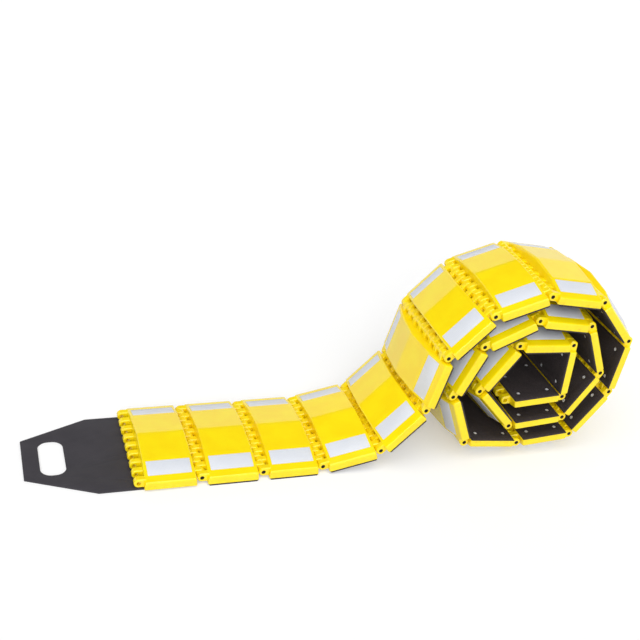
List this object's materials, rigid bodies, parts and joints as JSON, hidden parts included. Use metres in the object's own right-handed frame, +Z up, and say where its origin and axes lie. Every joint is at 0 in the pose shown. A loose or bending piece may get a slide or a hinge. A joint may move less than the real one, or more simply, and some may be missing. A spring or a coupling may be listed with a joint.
{
  "type": "roll-up portable speed bump",
  "caption": "Portable speed bump of hinged yellow hump segments on rubber pads, laid out at the tail and rolled up at the other end, with a rubber pull tab.",
  "frame": {"origin": "on the ground under the middle of the bounding box in the stored shape", "axes": "+X along the strip from the pull tab to the roll, +Y across the strip, +Z up"},
  "size_m": [1.1618, 0.248, 0.3746],
  "materials": {
    "yellow_moulding": "satin moulded",
    "fittings": "matt",
    "tab_rubber": "matt"
  },
  "bodies": {
    "body_01": {"segment_01": "yellow_moulding", "fittings_01": "fittings", "pull_tab": "tab_rubber"},
    "body_02": {"segment_02": "yellow_moulding", "fittings_02": "fittings"},
    "body_03": {"segment_03": "yellow_moulding", "fittings_03": "fittings"},
    "body_04": {"segment_04": "yellow_moulding", "fittings_04": "fittings"},
    "body_05": {"segment_05": "yellow_moulding", "fittings_05": "fittings"},
    "body_06": {"segment_06": "yellow_moulding", "fittings_06": "fittings"},
    "body_07": {"segment_07": "yellow_moulding", "fittings_07": "fittings"},
    "body_08": {"segment_08": "yellow_moulding", "fittings_08": "fittings"},
    "body_09": {"segment_09": "yellow_moulding", "fittings_09": "fittings"},
    "body_10": {"segment_10": "yellow_moulding", "fittings_10": "fittings"},
    "body_11": {"segment_11": "yellow_moulding", "fittings_11": "fittings"},
    "body_12": {"segment_12": "yellow_moulding", "fittings_12": "fittings"},
    "body_13": {"segment_13": "yellow_moulding", "fittings_13": "fittings"},
    "body_14": {"segment_14": "yellow_moulding", "fittings_14": "fittings"},
    "body_15": {"segment_15": "yellow_moulding", "fittings_15": "fittings"},
    "body_16": {"segment_16": "yellow_moulding", "fittings_16": "fittings"},
    "body_17": {"segment_17": "yellow_moulding", "fittings_17": "fittings"},
    "body_18": {"segment_18": "yellow_moulding", "fittings_18": "fittings"},
    "body_19": {"segment_19": "yellow_moulding", "fittings_19": "fittings"},
    "body_20": {"segment_20": "yellow_moulding", "fittings_20": "fittings"},
    "body_21": {"segment_21": "yellow_moulding", "fittings_21": "fittings"},
    "body_22": {"segment_22": "yellow_moulding", "fittings_22": "fittings"},
    "body_23": {"segment_23": "yellow_moulding", "fittings_23": "fittings"},
    "body_24": {"segment_24": "yellow_moulding", "fittings_24": "fittings"},
    "body_25": {"segment_25": "yellow_moulding", "fittings_25": "fittings"},
    "body_26": {"segment_26": "yellow_moulding", "fittings_26": "fittings"}
  },
  "joints": [
    {"name": "tail_hinge_01", "type": "hinge", "parent": "body_02", "child": "body_01", "pos_m": [-0.27089, 0, 0.0125], "axis": [0, 1, 0], "range_deg": [-90, 36]},
    {"name": "tail_hinge_02", "type": "hinge", "parent": "body_03", "child": "body_02", "pos_m": [-0.15589, 0, 0.0125], "axis": [0, 1, 0], "range_deg": [-90, 36]},
    {"name": "lead_hinge_03", "type": "hinge", "parent": "body_03", "child": "body_04", "pos_m": [-0.04089, 0, 0.0125], "axis": [0, 1, 0], "range_deg": [-23.9, 12.1]},
    {"name": "lead_hinge_04", "type": "hinge", "parent": "body_04", "child": "body_05", "pos_m": [0.07155, 0, 0.03661], "axis": [0, 1, 0], "range_deg": [-2, 34]},
    {"name": "lead_hinge_05", "type": "hinge", "parent": "body_05", "child": "body_06", "pos_m": [0.15129, 0, 0.11948], "axis": [0, 1, 0], "range_deg": [-6, 30]},
    {"name": "turn_hinge_06", "type": "hinge", "parent": "body_06", "child": "body_07", "pos_m": [0.17891, 0, 0.23111], "axis": [0, -1, 0], "range_deg": [0, 30]},
    {"name": "turn_hinge_07", "type": "hinge", "parent": "body_07", "child": "body_08", "pos_m": [0.25865, 0, 0.31398], "axis": [0, -1, 0], "range_deg": [0, 28]},
    {"name": "turn_hinge_08", "type": "hinge", "parent": "body_08", "child": "body_09", "pos_m": [0.36796, 0, 0.34971], "axis": [0, -1, 0], "range_deg": [0, 27]},
    {"name": "turn_hinge_09", "type": "hinge", "parent": "body_09", "child": "body_10", "pos_m": [0.48157, 0, 0.33193], "axis": [0, -1, 0], "range_deg": [0, 56.3]},
    {"name": "turn_hinge_10", "type": "hinge", "parent": "body_10", "child": "body_11", "pos_m": [0.55565, 0, 0.24397], "axis": [0, -1, 0], "range_deg": [0, 82]},
    {"name": "turn_hinge_11", "type": "hinge", "parent": "body_11", "child": "body_12", "pos_m": [0.53985, 0, 0.13006], "axis": [0, -1, 0], "range_deg": [0, 58]},
    {"name": "core_hinge_12", "type": "hinge", "parent": "body_12", "child": "body_13", "pos_m": [0.47242, 0, 0.0369], "axis": [0, -1, 0], "range_deg": [-0.5, 4.35]},
    {"name": "core_hinge_13", "type": "hinge", "parent": "body_13", "child": "body_14", "pos_m": [0.35788, 0, 0.02667], "axis": [0, 1, 0], "range_deg": [-0.3, 0.4]},
    {"name": "core_hinge_14", "type": "hinge", "parent": "body_14", "child": "body_15", "pos_m": [0.24349, 0, 0.03849], "axis": [0, 1, 0], "range_deg": [-0.15, 0.2]},
    {"name": "core_hinge_15", "type": "hinge", "parent": "body_15", "child": "body_16", "pos_m": [0.20208, 0, 0.14577], "axis": [0, -1, 0], "range_deg": [-0.15, 0.25]},
    {"name": "core_hinge_16", "type": "hinge", "parent": "body_16", "child": "body_17", "pos_m": [0.24867, 0, 0.25091], "axis": [0, -1, 0], "range_deg": [-0.2, 1]},
    {"name": "core_hinge_17", "type": "hinge", "parent": "body_17", "child": "body_18", "pos_m": [0.35281, 0, 0.2997], "axis": [0, 1, 0], "range_deg": [-0.5, 0.35]},
    {"name": "core_hinge_18", "type": "hinge", "parent": "body_18", "child": "body_19", "pos_m": [0.46642, 0, 0.28192], "axis": [0, -1, 0], "range_deg": [-0.05, 0.5]},
    {"name": "core_hinge_19", "type": "hinge", "parent": "body_19", "child": "body_20", "pos_m": [0.50969, 0, 0.17537], "axis": [0, -1, 0], "range_deg": [-0.05, 0.15]},
    {"name": "core_hinge_20", "type": "hinge", "parent": "body_20", "child": "body_21", "pos_m": [0.44723, 0, 0.07881], "axis": [0, 1, 0], "range_deg": [-0.2, 0.5]},
    {"name": "core_hinge_21", "type": "hinge", "parent": "body_21", "child": "body_22", "pos_m": [0.33269, 0, 0.06858], "axis": [0, 1, 0], "range_deg": [-0.1, 1]},
    {"name": "core_hinge_22", "type": "hinge", "parent": "body_22", "child": "body_23", "pos_m": [0.25559, 0, 0.1539], "axis": [0, -1, 0], "range_deg": [-0.95, 0.05]},
    {"name": "core_hinge_23", "type": "hinge", "parent": "body_23", "child": "body_24", "pos_m": [0.32138, 0, 0.24822], "axis": [0, -1, 0], "range_deg": [-0.75, 0.5]},
    {"name": "core_hinge_24", "type": "hinge", "parent": "body_24", "child": "body_25", "pos_m": [0.43623, 0, 0.24241], "axis": [0, 1, 0], "range_deg": [-1.8, 1.5]},
    {"name": "core_hinge_25", "type": "hinge", "parent": "body_25", "child": "body_26", "pos_m": [0.43644, 0, 0.12741], "axis": [0, -1, 0], "range_deg": [-2, 3.1]}
  ]
}
